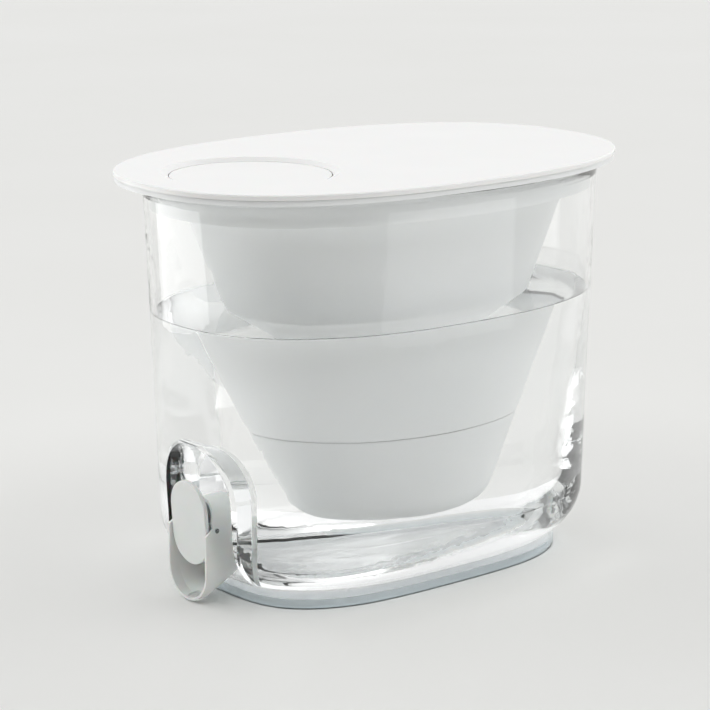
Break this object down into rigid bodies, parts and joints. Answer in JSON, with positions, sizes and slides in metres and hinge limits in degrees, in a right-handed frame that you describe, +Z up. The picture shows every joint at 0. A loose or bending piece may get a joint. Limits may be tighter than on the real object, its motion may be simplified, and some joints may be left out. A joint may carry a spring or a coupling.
{
  "type": "gravity water filter dispenser",
  "caption": "Clear oval water tank with a milky filter funnel hung in its rim, a flat white oval lid with a round refill flap, and a paddle tap in an arched pocket of the end wall.",
  "frame": {"origin": "on the table, under the middle of the lid, which is the middle of the whole outline seen from above", "axes": "+Z up; -Y towards the tap, along the long side of the oval; +X to the right-hand side of someone who looks from the far end towards the tap"},
  "size_m": [0.2287, 0.3466, 0.265],
  "materials": {
    "clear_tank": "clear moulded copolyester, polished",
    "milky_funnel": "milky translucent polypropylene, satin",
    "milky_housing": "milky translucent polypropylene, satin",
    "lid_white": "white moulded plastic, glossy",
    "flap_white": "white moulded plastic, glossy",
    "cartridge_shell": "white moulded plastic, satin",
    "filter_mesh": "fine woven polyester mesh",
    "filter_granules": "carbon and resin granules",
    "seal_silicone": "moulded silicone, matte",
    "tap_white": "white moulded acetal, satin",
    "paddle_white": "white moulded plastic, satin",
    "steel": "stainless wire and pins, drawn"
  },
  "bodies": {
    "tank": {"tank": "clear_tank", "tap_body": "tap_white", "tap_outer_gasket": "seal_silicone", "tap_inner_gasket": "seal_silicone", "tap_lock_nut": "tap_white", "tap_inlet_strainer": "tap_white", "tap_stem_guide": "tap_white", "tap_pivot_pin": "steel", "tap_spring": "steel"},
    "hopper": {"hopper": "milky_funnel"},
    "lid": {"lid": "lid_white", "flap_hinge_rod": "steel", "flap_spring": "steel"},
    "flap": {"refill_flap": "flap_white"},
    "cartridge": {"cartridge_body": "cartridge_shell", "cartridge_seal": "seal_silicone", "cartridge_bottom_mesh": "filter_mesh", "cartridge_media": "filter_granules", "cartridge_top_mesh": "filter_mesh", "cartridge_cap": "cartridge_shell"},
    "filter_housing": {"filter_housing": "milky_housing"},
    "paddle": {"tap_paddle": "paddle_white"},
    "stem": {"tap_stem": "tap_white", "tap_valve_disc": "seal_silicone"}
  },
  "joints": [
    {"name": "hopper_lift", "type": "slide", "parent": "tank", "child": "hopper", "axis": [0, 0, 1], "range_m": [0, 0.27]},
    {"name": "lid_lift", "type": "slide", "parent": "hopper", "child": "lid", "axis": [0, 0, 1], "range_m": [0, 0.15]},
    {"name": "flap_swing", "type": "hinge", "parent": "lid", "child": "flap", "pos_m": [0, -0.0895, 0.2578], "axis": [-1, 0, 0], "range_deg": [0, 55], "stiffness_Nm_per_rad": 0.02, "springref_deg": -22.92, "deforming": ["flap_spring"]},
    {"name": "cartridge_lift", "type": "slide", "parent": "hopper", "child": "cartridge", "axis": [0, 0, 1], "range_m": [0, 0.12]},
    {"name": "housing_unclip", "type": "slide", "parent": "hopper", "child": "filter_housing", "axis": [0, 0, -1], "range_m": [0, 0.03]},
    {"name": "paddle_press", "type": "hinge", "parent": "tank", "child": "paddle", "pos_m": [0, -0.1387, 0.0485], "axis": [-1, 0, 0], "range_deg": [0, 12], "stiffness_Nm_per_rad": 0.19, "springref_deg": -9.17},
    {"name": "stem_pull", "type": "slide", "parent": "tank", "child": "stem", "axis": [0, -1, 0], "range_m": [0, 0.00305], "deforming": ["tap_spring"]}
  ],
  "couplings": [
    {"joint": "stem_pull", "follows": "paddle_press", "m_per_rad": 0.0145}
  ]
}
